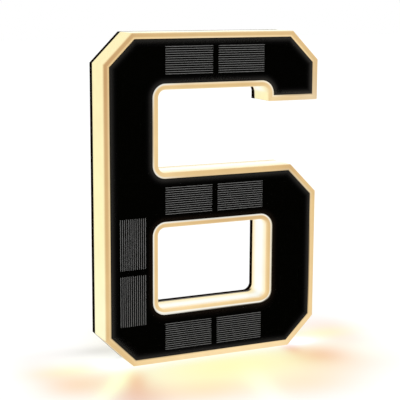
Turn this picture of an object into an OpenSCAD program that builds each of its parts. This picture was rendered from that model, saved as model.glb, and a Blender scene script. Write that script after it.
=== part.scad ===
// Illuminated house number sign: a digit six with a solar panel front, lit from inside.
// The front faces -Y, +X is to the right seen from the front and +Z is up.
// The origin is at the middle of the foot, half way through the depth.

/* [Digit] */
// Overall width
overall_w = 142.2; // [136:0.2:160]
// Overall height
overall_h = 200; // [194:1:230]
// Overall depth, front rim to back face
overall_d = 23; // [22.5:0.5:32]
// Width of the upright strokes
stem_w = 34.2; // [33:0.2:38]
// Height of the level strokes
bar_h = 33.4; // [33:0.2:36]
// Height of the closed lower counter
lower_counter_h = 50.4; // [46:0.2:60]
// How far the hook hangs below the top stroke
hook_drop = 9.3; // [7:0.1:16]
// Leg of the corner chamfers
chamfer = 17.9; // [12:0.1:18.5]
// Radius in the corners of both counters
counter_r = 4.7; // [3:0.1:7]

/* [Diffuser housing] */
// Thickness of the glowing walls
wall_t = 2.4; // [1.6:0.1:2.6]
// Thickness of the web behind the panel
web_t = 1.6; // [1:0.1:2.4]
// Width of the light step between the rim and the panel
step_w = 1; // [0.6:0.1:1.4]
// Drop of the light step below the rim
step_drop = 0.4; // [0.2:0.05:1]
// Radius of the screw bosses
boss_r = 3; // [2.4:0.1:3.4]
// Radius of the pilot holes in the bosses
pilot_r = 1.3; // [1.3:0.05:1.6]
// Depth of the pilot holes
pilot_depth = 9.5; // [9:0.1:12]
// Radius of the hole for the panel leads
lead_hole_r = 2.6; // [2.4:0.1:3.2]
// Width of the flange on the panel leads' seal
lead_seal_flange_w = 1; // [0.6:0.1:1.5]
// Thickness of the flange on the panel leads' seal
lead_seal_flange_t = 0.6; // [0.4:0.1:1]

/* [Solar panel] */
// Gap between the panel's edge and the light step
panel_gap = 0.2; // [0.1:0.05:0.4]
// Thickness of the clear front film
film_t = 0.3; // [0.2:0.05:0.6]
// Thickness of the black board
board_t = 1.2; // [0.8:0.1:1.6]
// Thickness of the adhesive tape behind the board
tape_t = 0.4; // [0.2:0.05:0.8]
// Width of the adhesive tape
tape_w = 5; // [3:0.1:7]
// Margin between the board's edge and the tape
tape_margin = 1; // [0.4:0.1:2]
// Length of a solar cell
cell_l = 31; // [24:0.5:33]
// Width of a solar cell
cell_w = 16.7; // [12:0.1:18]
// Gap between the two cells of a pair
cell_gap = 3.7; // [1:0.1:6]
// Thickness of a cell's wafer
wafer_t = 0.2; // [0.15:0.01:0.25]
// Number of finger lines on a cell
finger_count = 13; // [5:1:15]
// Width of a finger line
finger_w = 0.7; // [0.4:0.05:0.8]
// Height of a finger line above the wafer
finger_t = 0.1; // [0.05:0.01:0.12]
// Play round a cell in its pocket
cell_play = 0.1; // [0.05:0.05:0.3]
// Depth of a cell's pocket
cell_pocket = 0.38; // [0.38:0.01:0.5]
// How far the level pairs sit to the right of the middle
pair_shift = 0.7; // [0:0.1:2]
// How far the top pair sits above the middle of its stroke
top_pair_up = 0.5; // [0:0.1:1]
// How far the middle pair sits below the middle of its stroke
middle_pair_down = 0.5; // [0:0.1:1]
// How far the bottom pair sits below the middle of its stroke
bottom_pair_down = 0.8; // [0:0.1:1]
// How far the stem pair sits to the right of the middle of its stroke
stem_pair_shift = 0.8; // [0:0.1:1]
// Height of the middle of the stem pair
stem_pair_z = 57.9; // [52:0.1:62]

/* [Back cover] */
// Thickness of the cover at its edge
cover_edge_t = 3.5; // [3.2:0.1:4]
// Thickness of the cover's floor
cover_floor_t = 2; // [1.8:0.1:2.2]
// Thickness of the locating rib
spigot_t = 1.2; // [0.8:0.1:1.6]
// Height of the locating rib
spigot_h = 2; // [1:0.1:3]
// Gap between the locating rib and the housing wall
spigot_gap = 0.2; // [0.1:0.05:0.3]
// Distance of the gasket groove from the outside
groove_inset = 0.7; // [0.5:0.05:0.8]
// Width of the gasket groove
groove_w = 1; // [0.6:0.05:1.1]
// Depth of the gasket groove
groove_d = 0.8; // [0.5:0.05:1.2]
// Side clearance of the gasket in its groove
gasket_gap = 0.05; // [0.02:0.01:0.1]
// Radius of the raised seats under the screws
seat_r = 4.5; // [4.2:0.1:5]
// Radius of a screw's clearance hole
screw_hole_r = 1.6; // [1.4:0.05:1.8]
// Radius of a screw's head recess
head_recess_r = 2.9; // [2.8:0.05:3.2]
// Depth of a screw's head recess
head_recess_d = 1.8; // [1.7:0.05:2]

/* [Keyholes] */
// Distance between the two keyholes
keyhole_spacing = 70; // [56:1:76]
// Radius of a keyhole's entry
keyhole_r = 3.8; // [3.4:0.1:4]
// Half width of a keyhole's slot
keyhole_slot_r = 2.1; // [1.7:0.1:2.3]
// Distance from the entry's centre to the end centre of the slot
keyhole_travel = 4.6; // [3.6:0.1:4.8]
// Room for the screw's head round the keyhole
keyhole_room = 0.3; // [0.1:0.1:0.4]
// Depth of the closed pocket behind a keyhole
pocket_depth = 3.6; // [3:0.1:5]
// Wall of the closed pocket
pocket_wall = 1.2; // [0.8:0.1:1.2]

/* [Screws] */
// Radius of a cover screw's head
head_r = 2.6; // [2.4:0.05:2.7]
// Height of a cover screw's head
head_t = 1.5; // [1.2:0.05:1.6]
// Radius of a cover screw's shank
shank_r = 1.25; // [1:0.05:1.25]
// Length of a cover screw under its head
screw_l = 10; // [8:0.5:10]
// Width of the cross in a screw's head
cross_w = 0.7; // [0.5:0.05:0.9]
// Length of the cross in a screw's head
cross_l = 3; // [2:0.1:3.4]
// Depth of the cross in a screw's head
cross_d = 0.9; // [0.6:0.05:1.1]
// How far the corner screws sit in from the stroke centres
corner_in = 1.5; // [1:0.1:2]
// Distance from the ends of the battery tray to the next screws
tray_screw_gap = 11; // [8:0.5:12]

/* [Inner frame] */
// Thickness of the frame's walls
frame_wall_t = 1.2; // [0.8:0.1:1.2]
// Thickness of the frame's floor
frame_floor_t = 1; // [0.8:0.1:1.2]
// Height of the frame above the cover's floor
frame_h = 11.5; // [11:0.1:12]
// Clearance of the holes in the frame's floor
frame_gap = 0.3; // [0.2:0.05:0.4]

/* [Lights] */
// Thickness of a light strip
strip_t = 0.4; // [0.3:0.05:0.6]
// Width of a light strip
strip_w = 8; // [6:0.5:8]
// Height of a light strip's edge above the frame's floor
strip_lift = 0.5; // [0.2:0.1:1]
// Spacing of the lamps along a strip
led_pitch = 16; // [12:0.5:20]
// Width of a lamp along its strip
led_w = 2.8; // [2:0.1:3.5]
// Width of a lamp across its strip
led_h = 3.5; // [2.8:0.1:5]
// Thickness of a lamp
led_t = 0.8; // [0.6:0.1:1.2]

/* [Batteries] */
// Radius of a battery
battery_r = 5.25; // [5:0.05:5.3]
// Length of a battery's can
battery_can_l = 43.5; // [40:0.5:43.5]
// Radius of a battery's button end
battery_tip_r = 1.9; // [1.5:0.1:2.5]
// Length of a battery's button end
battery_tip_l = 1; // [0.8:0.1:1.5]
// Thickness of the tray's sides
tray_side_t = 1.15; // [0.8:0.05:1.2]
// Clearance between the tray and the frame's walls
tray_gap = 2; // [1.6:0.1:2.4]
// Thickness of the tray's floor and ends
tray_t = 1; // [0.8:0.1:1.2]
// Height of the tray's sides
tray_h = 9; // [7:0.1:10]
// Height of the middle of the battery tray
tray_z = 92; // [90:0.5:94]
// Play round a battery in its tray
battery_play = 0.1; // [0.05:0.05:0.2]
// Thickness of a contact plate
plate_t = 0.4; // [0.3:0.05:0.5]
// Width of a contact plate
plate_w = 9.5; // [8:0.1:10]
// Width of the solder tab on a contact plate
tab_w = 2.4; // [1.6:0.1:3]
// Length of the contact spring as fitted
spring_l = 4; // [3:0.1:5]
// Radius of the contact spring at its foot
spring_foot_r = 3.6; // [3:0.1:4]
// Radius of the contact spring at its top
spring_top_r = 2.2; // [1.8:0.1:2.6]
// Radius of the contact spring's wire
spring_wire_r = 0.35; // [0.25:0.05:0.4]

/* [Control board] */
// Length of the control board
pcb_l = 60; // [58:0.5:64]
// Clearance between the control board and the frame's walls
pcb_gap = 1.4; // [0.6:0.1:2]
// Thickness of the control board
pcb_t = 1.2; // [1:0.1:1.6]
// Height of the board's posts above the frame's floor
pcb_post_h = 5.6; // [5.5:0.1:6]
// Radius of the board's posts
pcb_post_r = 2.2; // [1.8:0.1:2.4]
// Radius of the pilot holes in the board's posts
pcb_pilot_r = 1; // [1:0.05:1.2]
// Radius of a board screw's shank
pcb_shank_r = 0.95; // [0.8:0.05:0.95]
// Length of a board screw under its head
pcb_screw_l = 5; // [4:0.1:5.5]
// Radius of a board screw's head
pcb_head_r = 1.9; // [1.6:0.1:2]
// Height of a board screw's head
pcb_head_t = 1.2; // [1:0.1:1.4]
// Length of the controller chip
chip_l = 5; // [4:0.1:6]
// Width of the controller chip
chip_w = 4; // [3:0.1:5]
// Thickness of the controller chip
chip_t = 1.5; // [1:0.1:2]
// Clearance between the chip and the post beside it
chip_gap = 3.3; // [3:0.1:3.6]
// Radius of the charge coil
coil_r = 2.6; // [2:0.1:3]
// Height of the charge coil
coil_h = 2.8; // [2:0.1:3.5]
// Thickness of the coil's flanges
coil_flange_t = 0.6; // [0.4:0.1:0.8]
// Depth of the winding space of the coil
coil_groove = 0.6; // [0.3:0.1:1]
// Length of a connector
plug_l = 6; // [5:0.1:7]
// Width of a connector
plug_w = 4.5; // [4:0.1:5]
// Height of a connector
plug_h = 4.8; // [4:0.1:5]
// Clearance of a connector from the board's end and from the post beside it
plug_gap = 1.4; // [1:0.1:2]
// Thickness of a connector's walls
plug_wall = 0.7; // [0.5:0.1:0.9]
// Radius of the leads
lead_r = 0.6; // [0.4:0.05:0.7]
// Distance between the two leads of a pair
lead_gap = 2.4; // [2:0.1:2.6]
// Bend radius of the leads
lead_bend = 3; // [2:0.1:3.5]
// Distance of the panel leads from the middle
panel_lead_x = 8; // [7:0.5:10]

/* [Mode button] */
// Radius of the button's cap
button_r = 4.4; // [4:0.1:4.6]
// Running gap round the button's cap
button_gap = 0.2; // [0.15:0.05:0.3]
// How far the cap lies below the back face
button_sink = 0.2; // [0.1:0.05:0.4]
// Radius of the button's flange
button_flange_r = 6; // [5.6:0.1:6.2]
// Thickness of the button's flange
button_flange_t = 1; // [0.8:0.1:1.1]
// Depth of the dished cap
button_dish = 0.4; // [0.2:0.05:0.5]
// Width of the flat ring round the dish
button_ring_w = 0.8; // [0.4:0.1:1.2]
// Travel of the button
button_travel = 1; // [0.6:0.1:1]
// Thickness of the seal round the button
seal_t = 0.5; // [0.4:0.05:0.6]
// Outer radius of the seal
seal_r = 6.4; // [6:0.1:6.6]
// Gap between the seal and the button's flange
seal_gap = 0.1; // [0.05:0.05:0.15]
// Width of the mode switch
switch_w = 6.2; // [5.5:0.1:7]
// Height of the mode switch
switch_h = 3.5; // [3.2:0.1:3.6]
// Radius of the switch's plunger
plunger_r = 1.6; // [1.2:0.1:1.9]
// Running gap round the switch's plunger
plunger_gap = 0.1; // [0.08:0.01:0.15]
// Depth of the switch's bore
switch_bore = 2.5; // [2.5:0.1:2.8]

/* [Hidden] */

fine = 64;
coarse = 32;
over = wall_t;

// Depth levels, from the front face towards the back
front_y = -overall_d / 2;
back_y = overall_d / 2;
film_back = front_y + film_t;
board_back = film_back + board_t;
pocket_floor = board_back + tape_t;
web_back = pocket_floor + web_t;
cover_front = back_y - cover_edge_t;
floor_front = back_y - cover_floor_t;
frame_front = floor_front - frame_floor_t;
frame_wall_front = floor_front - frame_h;
strip_back = frame_front - strip_lift;
strip_front = strip_back - strip_w;
pcb_back = frame_front - pcb_post_h;
pcb_front = pcb_back - pcb_t;

// Insets from the outside of the digit
pocket_inset = wall_t + step_w;
panel_inset = pocket_inset + panel_gap;
tape_inset = panel_inset + tape_margin;
spigot_out = wall_t + spigot_gap;
spigot_in = spigot_out + spigot_t;
tray_channel = 2 * (battery_r + battery_play);
tray_w = tray_channel + 2 * tray_side_t;
frame_in = stem_w / 2 - tray_w / 2 - tray_gap;
frame_out = frame_in - frame_wall_t;
strip_inset = frame_out - strip_t;
pcb_h = bar_h - 2 * frame_in - 2 * pcb_gap;
plug_x = (pcb_l - plug_l) / 2 - plug_gap;
pcb_post_x = plug_x - plug_l / 2 - plug_gap - pcb_post_r;
chip_x = pcb_post_x - pcb_post_r - chip_gap - chip_l / 2;

// Places on the digit
half_w = overall_w / 2;
counter_left = stem_w - half_w;
counter_right = half_w - stem_w;
lower_low = bar_h;
lower_high = bar_h + lower_counter_h;
upper_low = lower_high + bar_h;
upper_high = overall_h - bar_h;
hook_z = upper_high - hook_drop;
chamfer_share = 2 - sqrt(2);
stem_x = half_w - stem_w / 2;
low_z = bar_h / 2;
middle_z = (lower_high + upper_low) / 2;
top_z = overall_h - bar_h / 2;

// Battery compartment
battery_l = battery_can_l + battery_tip_l;
tray_in_l = 2 * battery_l + 2 * plate_t + spring_l + 2 * battery_play;
tray_l = tray_in_l + 2 * tray_t;
tray_low = tray_z - tray_in_l / 2;
tray_high = tray_z + tray_in_l / 2;
tray_floor = frame_front - tray_t;
battery_y = tray_floor - battery_play - battery_r;
battery_low = tray_low + plate_t + spring_l;
lead_x = -stem_x + tray_w / 2 + tray_gap / 2;
lead_y = frame_front - pcb_post_h / 2;

// Screws
screw_places = [
    [-stem_x + corner_in, top_z - corner_in],
    [0, top_z],
    [stem_x, (hook_z + overall_h) / 2],
    [-stem_x, tray_z + tray_l / 2 + tray_screw_gap],
    [-stem_x, tray_z - tray_l / 2 - tray_screw_gap],
    [stem_x, (low_z + middle_z) / 2],
    [stem_x - corner_in, middle_z - corner_in],
    [0, low_z],
    [stem_x - corner_in, low_z + corner_in]
];
head_seat = back_y - head_recess_d;

// Leads
panel_lead_places = [for (side = [-1, 1]) [side * lead_gap / 2 - panel_lead_x, middle_z]];
led_lead_places = [for (side = [-1, 1]) plug_x + side * lead_gap / 2];

// Keyholes
keyhole_places = [for (side = [-1, 1]) [side * keyhole_spacing / 2, top_z - keyhole_travel / 2]];
pocket_in_r = keyhole_r + keyhole_room;
pocket_front = floor_front - pocket_depth - pocket_wall;

// Mode button
button_place = [0, middle_z];
button_back = back_y - button_sink;
flange_back = floor_front - seal_t - seal_gap;
flange_front = flange_back - button_flange_t;
switch_back = pcb_back + switch_h;
plunger_front = switch_back - switch_bore + button_travel + plunger_gap * 2;
dish_edge_r = button_r - button_ring_w;
dish_r = (dish_edge_r * dish_edge_r + button_dish * button_dish) / (2 * button_dish);

// Solar cells: centre, and whether the cell stands upright
cell_step = (cell_l + cell_gap) / 2;
cell_floor = film_back + cell_pocket;
finger_pitch = (cell_w - finger_w) / (finger_count - 1);
cell_places = [
    [-cell_step + pair_shift, top_z + top_pair_up, false],
    [cell_step + pair_shift, top_z + top_pair_up, false],
    [-cell_step + pair_shift, middle_z - middle_pair_down, false],
    [cell_step + pair_shift, middle_z - middle_pair_down, false],
    [-stem_x + stem_pair_shift, stem_pair_z + cell_step, true],
    [-stem_x + stem_pair_shift, stem_pair_z - cell_step, true],
    [-cell_step + pair_shift, low_z - bottom_pair_down, false],
    [cell_step + pair_shift, low_z - bottom_pair_down, false]
];

// A flat outline in X and Z, thickened between two depths
module slab(from, to) {
    translate([0, to, 0]) rotate([90, 0, 0]) linear_extrude(height = to - from) children();
}

// Round posts along Y at a list of places
module posts(places, from, to, r) {
    for (place = places)
        translate([place[0], from, place[1]]) rotate([-90, 0, 0]) cylinder(h = to - from, r = r, $fn = fine);
}

// The digit's outer edge moved inwards by d, with the upper counter still to cut
function block_points(d) = let (
    leg = chamfer - d * chamfer_share, left = d - half_w, right = half_w - d,
    top = overall_h - d, mouth_low = upper_low - d, mouth_high = hook_z + d
) [
    [left, d + leg], [left, top - leg], [left + leg, top], [right - leg, top], [right, top - leg],
    [right, mouth_high], [0, mouth_high], [0, mouth_low],
    [right - leg, mouth_low], [right, mouth_low - leg], [right, d + leg], [right - leg, d], [left + leg, d]
];

// A counter with round corners, grown outwards by d
module counter(d, low, high) {
    r = counter_r + d;
    left = counter_left - d;
    right = counter_right + d;
    translate([left + r, low - d]) square([right - left - 2 * r, high - low + 2 * d]);
    translate([left, low - d + r]) square([right - left, high - low + 2 * d - 2 * r]);
    for (x = [left + r, right - r], z = [low - d + r, high + d - r])
        translate([x, z]) circle(r = r, $fn = fine);
}

module lower_counter(d) {
    counter(d, lower_low, lower_high);
}

module outer_block(d) {
    difference() {
        polygon(block_points(d));
        counter(d, upper_low, upper_high);
    }
}

module digit(d) {
    difference() {
        outer_block(d);
        lower_counter(d);
    }
}

// A band that follows every edge of the digit, between two insets
module band(d_out, d_in) {
    difference() {
        digit(d_out);
        digit(d_in);
    }
}

module upright(turned) {
    rotate(turned ? 90 : 0) children();
}

module keyhole_shape(place) {
    translate(place) circle(r = keyhole_r, $fn = fine);
    translate(place + [-keyhole_slot_r, 0]) square([2 * keyhole_slot_r, keyhole_travel]);
    translate(place + [0, keyhole_travel]) circle(r = keyhole_slot_r, $fn = fine);
}

// The rectangle round a keyhole's head room, grown by a margin
module keyhole_box(place, margin) {
    r = pocket_in_r + margin;
    translate(place - [r, r]) square([2 * r, 2 * r + keyhole_travel]);
}

// A screw along Y: head behind, shank forwards, with a cross in the head
module screw(place, seat, head_radius, head_height, shank_radius, length, side) {
    taper = 2 * shank_radius;
    translate([place[0], seat, place[1]]) rotate([-90 * side, 0, 0]) difference() {
        union() {
            cylinder(h = head_height, r = head_radius, $fn = fine);
            translate([0, 0, taper - length]) cylinder(h = length - taper, r = shank_radius, $fn = coarse);
            translate([0, 0, -length]) cylinder(h = taper, r1 = shank_radius / 2, r2 = shank_radius, $fn = coarse);
        }
        for (turn = [0, 90])
            rotate(turn) translate([-cross_l / 2, -cross_w / 2, head_height - cross_d])
                cube([cross_l, cross_w, cross_d + over]);
    }
}

// A route with its corners rounded by short curves
function bend(a, b, c, radius, steps) = let (
    start = b + radius * (a - b) / norm(a - b), end = b + radius * (c - b) / norm(c - b)
) [for (i = [0:steps]) let (t = i / steps) (1 - t) * (1 - t) * start + 2 * t * (1 - t) * b + t * t * end];

function rounded_route(p, radius, steps) = concat(
    [p[0]],
    [for (i = [1:len(p) - 2]) each bend(p[i - 1], p[i], p[i + 1], radius, steps)],
    [p[len(p) - 1]]
);

// A tube swept along points; normals holds one direction across the path for each point
module tube(points, normals, radius, sides) {
    count = len(points);
    rings = [for (i = [0:count - 1]) let (
        before = points[max(i - 1, 0)], after = points[min(i + 1, count - 1)],
        along = (after - before) / norm(after - before),
        cross_raw = cross(along, normals[i]), v = cross_raw / norm(cross_raw), u = cross(v, along)
    ) for (k = [0:sides - 1]) points[i] + radius * (cos(360 * k / sides) * u + sin(360 * k / sides) * v)];
    walls = [for (i = [0:count - 2], k = [0:sides - 1]) let (next = (k + 1) % sides)
        [i * sides + k, i * sides + next, (i + 1) * sides + next, (i + 1) * sides + k]];
    first_cap = [for (k = [0:sides - 1]) sides - 1 - k];
    last_cap = [for (k = [0:sides - 1]) (count - 1) * sides + k];
    polyhedron(points = rings, faces = concat([first_cap], walls, [last_cap]));
}

// Milky tray: the glowing walls, the rim, the light step and the web behind the panel
module diffuser_housing() {
    color("moccasin") difference() {
        union() {
            difference() {
                slab(front_y, cover_front) digit(0);
                slab(front_y - over, front_y + step_drop) digit(wall_t);
                slab(front_y - over, pocket_floor) digit(pocket_inset);
                slab(web_back, cover_front + over) digit(wall_t);
            }
            posts(screw_places, web_back, cover_front, boss_r);
        }
        posts(screw_places, cover_front - pilot_depth, cover_front + over, pilot_r);
        posts([[-panel_lead_x, middle_z]], pocket_floor - over, web_back + over, lead_hole_r);
    }
}

module front_film() {
    color("dimgray", 0.3) slab(front_y, film_back) digit(panel_inset);
}

module solar_board() {
    color([0.03, 0.03, 0.03]) difference() {
        slab(film_back, board_back) digit(panel_inset);
        for (place = cell_places)
            slab(film_back - over, cell_floor)
                translate([place[0], place[1]]) upright(place[2])
                    square([cell_l + 2 * cell_play, cell_w + 2 * cell_play], center = true);
    }
}

// Wafer with its finger lines, in its pocket in the board
module solar_cell(index) {
    place = cell_places[index];
    color([0.16, 0.16, 0.17]) {
        slab(cell_floor - wafer_t, cell_floor)
            translate([place[0], place[1]]) upright(place[2]) square([cell_l, cell_w], center = true);
        slab(cell_floor - wafer_t - finger_t, cell_floor - wafer_t)
            translate([place[0], place[1]]) upright(place[2])
                for (i = [0:finger_count - 1])
                    translate([-cell_l / 2, i * finger_pitch - cell_w / 2]) square([cell_l, finger_w]);
    }
}

module panel_tape() {
    color("whitesmoke") slab(board_back, pocket_floor) band(tape_inset, tape_inset + tape_w);
}

module panel_leads() {
    color("firebrick") posts(panel_lead_places, board_back, pcb_front, lead_r);
}

// Rubber plug round the panel leads, with its flange inside the housing
module lead_seal() {
    color("gray") difference() {
        union() {
            posts([[-panel_lead_x, middle_z]], pocket_floor, web_back, lead_hole_r - gasket_gap);
            posts([[-panel_lead_x, middle_z]], web_back, web_back + lead_seal_flange_t, lead_hole_r + lead_seal_flange_w);
        }
        posts(panel_lead_places, pocket_floor - over, web_back + over, lead_r + gasket_gap);
    }
}

// White frame on the cover's floor: carries the strips, the battery tray and the board
module inner_frame() {
    color("white") difference() {
        union() {
            slab(frame_front, floor_front) digit(frame_out);
            slab(frame_wall_front, frame_front) band(frame_out, frame_in);
            posts([[-pcb_post_x, middle_z], [pcb_post_x, middle_z]], pcb_back, frame_front, pcb_post_r);
        }
        posts(screw_places, frame_front - over, floor_front + over, seat_r + frame_gap);
        for (place = keyhole_places)
            slab(pocket_front - frame_gap, floor_front + over) keyhole_box(place, pocket_wall + frame_gap);
        posts([button_place], frame_front - over, floor_front + over, seal_r + frame_gap);
        posts([[-pcb_post_x, middle_z], [pcb_post_x, middle_z]], pcb_back - over, pcb_back + pcb_screw_l, pcb_pilot_r);
        for (x = led_lead_places)
            translate([x, lead_y, lower_high]) cylinder(h = bar_h, r = lead_r + gasket_gap, $fn = coarse);
    }
}

module led_strip_outer() {
    color("ivory") slab(strip_front, strip_back) difference() {
        outer_block(strip_inset);
        outer_block(frame_out);
    }
}

module led_strip_inner() {
    color("ivory") slab(strip_front, strip_back) difference() {
        lower_counter(frame_out);
        lower_counter(strip_inset);
    }
}

// Straight stretches of the strips, each travelled with the outside on its left
function outer_runs(d) = let (
    leg = chamfer - d * chamfer_share, left = d - half_w, right = half_w - d, top = overall_h - d,
    inner_left = counter_left - d, inner_right = counter_right + d, ceiling = upper_high + d,
    waist = upper_low - d, hook = hook_z + d, round = counter_r + d
) [
    [[left, d + leg], [left, top - leg]], [[left, top - leg], [left + leg, top]],
    [[left + leg, top], [right - leg, top]], [[right - leg, top], [right, top - leg]],
    [[right, top - leg], [right, hook]], [[right, hook], [inner_right, hook]],
    [[inner_right - round, ceiling], [inner_left + round, ceiling]],
    [[inner_left, ceiling - round], [inner_left, waist + round]],
    [[inner_left + round, waist], [right - leg, waist]], [[right - leg, waist], [right, waist - leg]],
    [[right, waist - leg], [right, d + leg]], [[right, d + leg], [right - leg, d]],
    [[right - leg, d], [left + leg, d]], [[left + leg, d], [left, d + leg]]
];

function inner_runs(d) = let (
    left = counter_left - d, right = counter_right + d, low = lower_low - d, high = lower_high + d,
    round = counter_r + d
) [
    [[left + round, low], [right - round, low]], [[right, low + round], [right, high - round]],
    [[right - round, high], [left + round, high]], [[left, high - round], [left, low + round]]
];

// Lamps spread evenly along each stretch, at least one on each
module lamps(runs) {
    color("gold") slab(strip_back - strip_w / 2 - led_h / 2, strip_back - strip_w / 2 + led_h / 2)
        for (run = runs) {
            way = run[1] - run[0];
            count = max(1, floor(norm(way) / led_pitch));
            for (i = [0:count - 1])
                translate(run[0] + way * (i + 0.5) / count) rotate(atan2(way[1], way[0]))
                    translate([-led_w / 2, 0]) square([led_w, led_t]);
        }
}

module leds_outer() {
    lamps(outer_runs(strip_inset));
}

module leds_inner() {
    lamps(inner_runs(strip_inset));
}

// Leads from the lamp connector up to the outer strip and down to the inner strip
module strip_leads() {
    color("firebrick") for (x = led_lead_places) {
        translate([x, lead_y, middle_z + plug_w / 2])
            cylinder(h = upper_low - frame_out - middle_z - plug_w / 2, r = lead_r, $fn = coarse);
        translate([x, lead_y, lower_high + frame_out])
            cylinder(h = middle_z - plug_w / 2 - lower_high - frame_out, r = lead_r, $fn = coarse);
    }
}

// Open channel for two batteries end to end, with a slot at each end for the plate's tab
module battery_tray() {
    color([0.12, 0.12, 0.12]) difference() {
        slab(frame_front - tray_h, frame_front)
            translate([-stem_x - tray_w / 2, tray_z - tray_l / 2]) square([tray_w, tray_l]);
        slab(frame_front - tray_h - over, tray_floor)
            translate([-stem_x - tray_channel / 2, tray_low]) square([tray_channel, tray_in_l]);
        for (z = [tray_low, tray_high - plate_t - battery_play])
            slab(lead_y - tab_w / 2 - battery_play, lead_y + tab_w / 2 + battery_play)
                translate([-stem_x, z]) square([tray_w, plate_t + battery_play]);
    }
}

module battery(low) {
    color("yellowgreen") translate([-stem_x, battery_y, low]) {
        cylinder(h = battery_can_l, r = battery_r, $fn = fine);
        cylinder(h = battery_l, r = battery_tip_r, $fn = fine);
    }
}

module battery_lower() {
    battery(battery_low);
}

module battery_upper() {
    battery(battery_low + battery_l);
}

// Square plates in the two ends of the tray, each with a tab out to its lead
module contact_plates() {
    color("silver") for (z = [tray_low, tray_high - plate_t]) {
        translate([-stem_x - plate_w / 2, battery_y - plate_w / 2, z]) cube([plate_w, plate_w, plate_t]);
        translate([-stem_x, lead_y - tab_w / 2, z]) cube([lead_x + stem_x + lead_r, tab_w, plate_t]);
    }
}

// Tapered spring between the lower plate and the lower battery, as one unbroken turn of wire
module contact_spring() {
    turns = 3;
    steps = 16 * turns;
    rise = spring_l - 2 * spring_wire_r;
    places = [for (i = [0:steps]) let (t = i / steps, r = spring_foot_r + (spring_top_r - spring_foot_r) * t)
        [r * cos(360 * turns * t), r * sin(360 * turns * t), spring_wire_r + rise * t]];
    normals = [for (i = [0:steps]) [cos(360 * turns * i / steps), sin(360 * turns * i / steps), 0]];
    color("silver") translate([-stem_x, battery_y, tray_low + plate_t]) tube(places, normals, spring_wire_r, 6);
}

// Leads from the two tabs, beside the tray, to the battery connector
module battery_leads() {
    color("firebrick") for (side = [-1, 1]) {
        start_z = side > 0 ? tray_high - plate_t : tray_low + plate_t;
        end_z = middle_z + side * lead_gap / 2;
        route = rounded_route([
            [lead_x, lead_y, start_z], [lead_x, lead_y, end_z], [-plug_x - plug_l / 2, lead_y, end_z]
        ], lead_bend, 6);
        tube(route, [for (p = route) [0, 1, 0]], lead_r, 8);
    }
}

module control_board() {
    color("darkgreen") difference() {
        slab(pcb_front, pcb_back) translate([-pcb_l / 2, middle_z - pcb_h / 2]) square([pcb_l, pcb_h]);
        posts([[-pcb_post_x, middle_z], [pcb_post_x, middle_z]], pcb_front - over, pcb_back + over, pcb_pilot_r);
    }
}

// Chip with four legs on each long side
module controller_chip() {
    leg_w = chip_l / 12;
    color([0.1, 0.1, 0.1]) {
        slab(pcb_back, pcb_back + chip_t)
            translate([-chip_x - chip_l / 2, middle_z - chip_w / 2]) square([chip_l, chip_w]);
        for (i = [0:3], side = [-1, 1])
            slab(pcb_back, pcb_back + leg_w)
                translate([-chip_x + (i - 1.5) * chip_l / 4 - leg_w / 2, middle_z + side * chip_w / 2 - leg_w * 2])
                    square([leg_w, 4 * leg_w]);
    }
}

module charge_coil() {
    color("dimgray") translate([chip_x, pcb_back, middle_z]) rotate([-90, 0, 0])
        rotate_extrude($fn = fine) polygon([
            [0, 0], [coil_r, 0], [coil_r, coil_flange_t], [coil_r - coil_groove, coil_flange_t],
            [coil_r - coil_groove, coil_h - coil_flange_t], [coil_r, coil_h - coil_flange_t],
            [coil_r, coil_h], [0, coil_h]
        ]);
}

// Two open connectors, one for the batteries and one for the strips
module wire_connectors() {
    color("ivory") for (side = [-1, 1])
        translate([side * plug_x, 0, middle_z]) difference() {
            slab(pcb_back, pcb_back + plug_h) square([plug_l, plug_w], center = true);
            slab(pcb_back + plug_wall, pcb_back + plug_h + over)
                square([plug_l - 2 * plug_wall, plug_w - 2 * plug_wall], center = true);
        }
}

module board_screws() {
    color("silver") for (side = [-1, 1])
        screw([side * pcb_post_x, middle_z], pcb_front, pcb_head_r, pcb_head_t, pcb_shank_r, pcb_screw_l, -1);
}

module mode_switch() {
    color([0.1, 0.1, 0.1]) difference() {
        slab(pcb_back, switch_back)
            translate(button_place) square([switch_w, switch_w], center = true);
        posts([button_place], switch_back - switch_bore, switch_back + over, plunger_r + plunger_gap);
    }
}

module switch_plunger() {
    color("white") posts([button_place], plunger_front, flange_front, plunger_r);
}

// Dished cap in the cover's hole, with a flange that keeps it inside
module mode_button() {
    color("dimgray") difference() {
        union() {
            posts([button_place], flange_front, flange_back, button_flange_r);
            posts([button_place], flange_front, button_back, button_r);
        }
        translate([button_place[0], button_back - button_dish + dish_r, button_place[1]])
            sphere(r = dish_r, $fn = 2 * fine);
    }
}

module button_seal() {
    color("gray") difference() {
        posts([button_place], floor_front - seal_t, floor_front, seal_r);
        posts([button_place], floor_front - seal_t - over, floor_front + over, button_r + button_gap);
    }
}

module cover_gasket() {
    color("gray") slab(cover_front, cover_front + groove_d)
        band(groove_inset + gasket_gap, groove_inset + groove_w - gasket_gap);
}

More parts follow.
